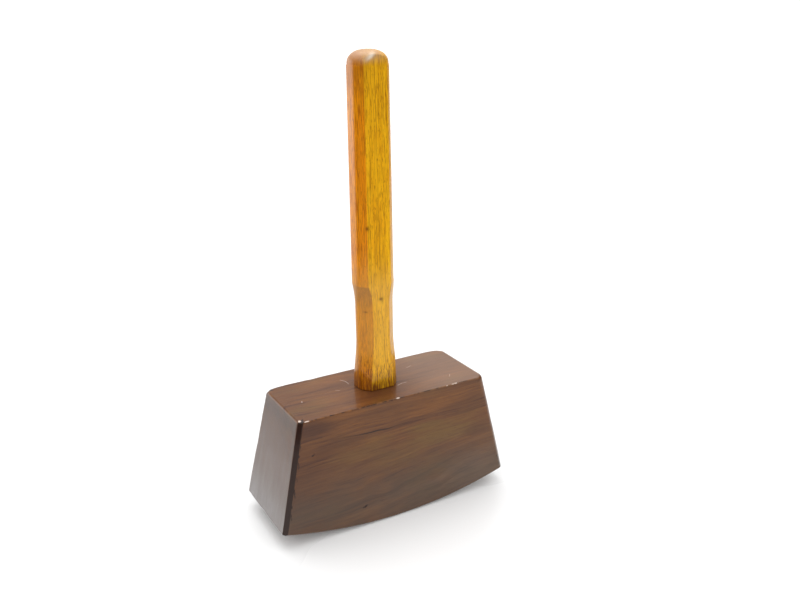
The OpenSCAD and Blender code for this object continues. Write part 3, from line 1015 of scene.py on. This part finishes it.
def table_top(settings):
    """A plain white table with a faint sheen."""
    n = Finish("white_table", settings)
    place = n.coordinate()
    cloud = n.noise(place, (3, 3, 3), detail=3)
    n.color = n.mix(cloud, settings.floor_color, [c * 0.97 for c in settings.floor_color])
    grit = n.noise(place, (900, 900, 900))
    return n.done(n.ranged(cloud, 0.0, 1.0, 0.22, 0.32), n.bump(grit, 0.02 * MM, 0.3),
                  Emission_Color=(1.0, 1.0, 1.0, 1.0), Emission_Strength=settings.table_glow)


# ---------------- operators

def finished(operator, obj, node, material):
    """Puts a finished piece in place of its CAD node."""
    obj.data.materials.clear()
    obj.data.materials.append(material)
    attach(obj, "root")
    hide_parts(node)
    operator.report({"INFO"}, f"{obj.name} is built")
    return {"FINISHED"}


class MALLET_OT_head(bpy.types.Operator):
    """Build the worn head with its mortise, chips and dents."""

    bl_idname = "mallet.head"
    bl_label = "Head"

    def execute(self, context):
        settings = context.scene.mallet_head
        shape = HeadShape(settings)
        size = HEAD_HIGH - HEAD_LOW
        us = graded(size.x, GRID_FINE, GRID_ALONG) * 2 - 1
        vs = graded(size.y, GRID_FINE, GRID_ACROSS) * 2 - 1
        ws = graded(size.z, GRID_FINE, GRID_ACROSS)
        u, v, w, cells = box_skin(us, vs, ws)
        points = shape.settle(shape.outline(u, v, w))
        if not np.isfinite(points).all():
            raise RuntimeError("the head's surface could not be settled")
        head = mesh_object("head_worn", points, cells)
        combine(head, mortise_tool(settings), "DIFFERENCE")
        final = coordinates(head)
        store(head, "arris", shape.distance_to_arris(final))
        for name, depth, start in (("corner_flat", shape.off_corner(final) / FLAT_FADE, 0.6),
                                   ("bare_wood_and_glint", shape.bites(final, shape.pale) / PALE_FADE, 2.2),
                                   ("dark_chip", shape.bites(final, shape.dark) / DARK_FADE, 1.5),
                                   ("dent", shape.dents(final) / DENT_FADE, -0.3)):
            store(head, name, np.clip(depth + start, 0, 1))
        return finished(self, head, "head", rosewood(settings))


class MALLET_OT_handle(bpy.types.Operator):
    """Build the eight-sided handle with its crown, neck, foot and tenon."""

    bl_idname = "mallet.handle"
    bl_label = "Handle"

    def execute(self, context):
        settings = context.scene.mallet_handle
        points, faces = HandleShape(settings).skin()
        handle = mesh_object("handle_shaped", points, faces)
        combine(handle, tenon_copy(), "UNION")
        store(handle, "flank", HandleShape(settings).on_flank(coordinates(handle)))
        if len(handle.data.polygons) < len(faces):
            raise RuntimeError("the tenon could not be joined to the handle")
        return finished(self, handle, "handle", amber_wood(settings))


class MALLET_OT_wedges(bpy.types.Operator):
    """Finish the two wedges that lock the tenon."""

    bl_idname = "mallet.wedges"
    bl_label = "Wedges"

    def execute(self, context):
        settings = context.scene.mallet_wedges
        material = wedge_wood(settings)
        for name in ("wedge_left", "wedge_right"):
            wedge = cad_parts[name]
            wedge.data.materials.clear()
            wedge.data.materials.append(material)
            weld = wedge.modifiers.new("joined_faces", "WELD")
            weld.merge_threshold = JOINING_DISTANCE
            bevel = wedge.modifiers.new("soft_edges", "BEVEL")
            bevel.width = settings.edge
            bevel.segments = 2
        return {"FINISHED"}


class MALLET_OT_studio(bpy.types.Operator):
    """Lay the white table, light the tent and place the camera."""

    bl_idname = "mallet.studio"
    bl_label = "Studio"

    def execute(self, context):
        settings = context.scene.mallet_studio
        lay_table(settings)
        light_tent(context.scene, settings)
        place_camera(context.scene, settings)
        context.scene.view_settings.view_transform = "Standard"
        return {"FINISHED"}


# The table: its edges, the round of its corners and its thickness, in metres
TABLE_LEFT, TABLE_RIGHT, TABLE_FRONT, TABLE_BACK = -0.58, 1.1, -0.50, 3.0
TABLE_ROUND, TABLE_THICK, TABLE_STEPS = 0.12, 0.03, 8

# Where each light of the tent begins and where it is full, along x, y or z of a direction
TENT = {
    "roof": (0.42, 0.68),
    "behind": (-0.15, 0.20),
    "lit_band": (0.37, 0.20),
    "left": (-0.15, -0.50),
    "left_back": (0.25, 0.60),
    "board_up": (0.16, 0.34),
    "board_front": (-0.05, -0.30),
    "lamp": (0.890, 0.985),
}
LAMP_BACK, LAMP_UP = 0.34, 0.940

AIM = Vector((28.6, 12.9, 144.1)) * MM
SENSOR_WIDTH = 36


def lay_table(settings):
    """A round-cornered table that ends half a metre in front of the mallet."""
    outline = []
    corners = ((TABLE_RIGHT, TABLE_BACK), (TABLE_LEFT, TABLE_BACK),
               (TABLE_LEFT, TABLE_FRONT), (TABLE_RIGHT, TABLE_FRONT))
    for quarter, (x, y) in enumerate(corners):
        middle_x, middle_y = x - math.copysign(TABLE_ROUND, x), y - math.copysign(TABLE_ROUND, y)
        for step in range(TABLE_STEPS + 1):
            turn = math.radians(90 * (quarter + step / TABLE_STEPS))
            outline.append((middle_x + TABLE_ROUND * math.cos(turn), middle_y + TABLE_ROUND * math.sin(turn)))
    count = len(outline)
    points = [(x, y, z) for z in (CAD_LOW.z, CAD_LOW.z - TABLE_THICK) for x, y in outline]
    faces = [tuple(range(count)), tuple(range(2 * count - 1, count - 1, -1))]
    faces += [(n, n + count, (n + 1) % count + count, (n + 1) % count) for n in range(count)]
    table = mesh_object("table", points, faces)
    table.data.materials.append(table_top(settings))


def light_tent(scene, settings):
    """White light from above, behind and the sides, a lamp up behind, a board and a dim room in front."""
    world = bpy.data.worlds.new("tent")
    world.use_nodes = True
    scene.world = world
    n = Nodes(world.node_tree)
    background = world.node_tree.nodes["Background"]
    x, y, z = n.parts(n.coordinate("Generated"))

    def lit(value, part):
        return n.ranged(value, *TENT[part])

    behind = lit(n.fused(n.math("ABSOLUTE", x), -0.6, y), "behind")
    lit_band = lit(z, "lit_band")
    wall = n.fused(lit_band, settings.wall_light - settings.shade_light, settings.shade_light)
    left_lamp = n.times(lit(x, "left"), lit(y, "left_back"))
    wall = n.fused(n.times(left_lamp, lit_band), settings.side_light, wall)
    beyond = n.math("SUBTRACT", wall, settings.opening_light)
    strength = n.fused(behind, beyond, settings.opening_light)
    board = n.times(lit(z, "board_up"), lit(y, "board_front"))
    strength = n.fused(board, settings.fill_light, strength)
    lift = n.math("SUBTRACT", settings.top_light, strength)
    strength = n.fused(lit(z, "roof"), lift, strength)
    lamp = lit(n.fused(y, LAMP_BACK, n.times(z, LAMP_UP)), "lamp")
    strength = n.fused(lamp, settings.lamp_light, strength)
    seen = n.add("ShaderNodeLightPath").outputs["Is Camera Ray"]
    strength = n.math("MAXIMUM", strength, seen)
    world.node_tree.links.new(strength, background.inputs["Strength"])
    background.inputs["Color"].default_value = (1.0, 1.0, 1.0, 1.0)


def place_camera(scene, settings):
    """The camera looks at a point above the head, a little to the right of the handle."""
    around, above = settings.azimuth, settings.elevation
    back = Vector((math.sin(around) * math.cos(above), -math.cos(around) * math.cos(above), math.sin(above)))
    right = Vector((math.cos(around), math.sin(around), 0.0))
    turn = Matrix.Rotation(settings.roll, 3, back)
    axes = Matrix((turn @ right, turn @ back.cross(right), back)).transposed()
    data = bpy.data.cameras.new("camera")
    data.lens = settings.focal
    data.sensor_width = SENSOR_WIDTH
    data.clip_start = 10 * MM
    data.dof.use_dof = False
    scene.camera = linked("camera", data)
    scene.camera.matrix_world = Matrix.Translation(AIM + back * settings.distance) @ axes.to_4x4()


class MALLET_PT_panel(bpy.types.Panel):
    """Buttons for each step of the mallet."""

    bl_idname = "MALLET_PT_panel"
    bl_label = "Joiner's Mallet"
    bl_space_type = "VIEW_3D"
    bl_region_type = "UI"
    bl_category = "Mallet"

    def draw(self, context):
        for operator in OPERATORS:
            self.layout.operator(operator.bl_idname)


GROUPS = {"mallet_head": MalletHeadSettings, "mallet_handle": MalletHandleSettings,
          "mallet_wedges": MalletWedgeSettings, "mallet_studio": MalletStudioSettings}
OPERATORS = (MALLET_OT_studio, MALLET_OT_head, MALLET_OT_handle, MALLET_OT_wedges)
CLASSES = (*GROUPS.values(), *OPERATORS, MALLET_PT_panel)


def register():
    for cls in CLASSES:
        bpy.utils.register_class(cls)
    for name, group in GROUPS.items():
        setattr(bpy.types.Scene, name, PointerProperty(type=group))


def unregister():
    for name in GROUPS:
        delattr(bpy.types.Scene, name)
    for cls in reversed(CLASSES):
        bpy.utils.unregister_class(cls)


def main():
    register()
    bpy.ops.mallet.studio()
    bpy.ops.mallet.head()
    bpy.ops.mallet.handle()
    bpy.ops.mallet.wedges()


if __name__ == "__main__":
    main()
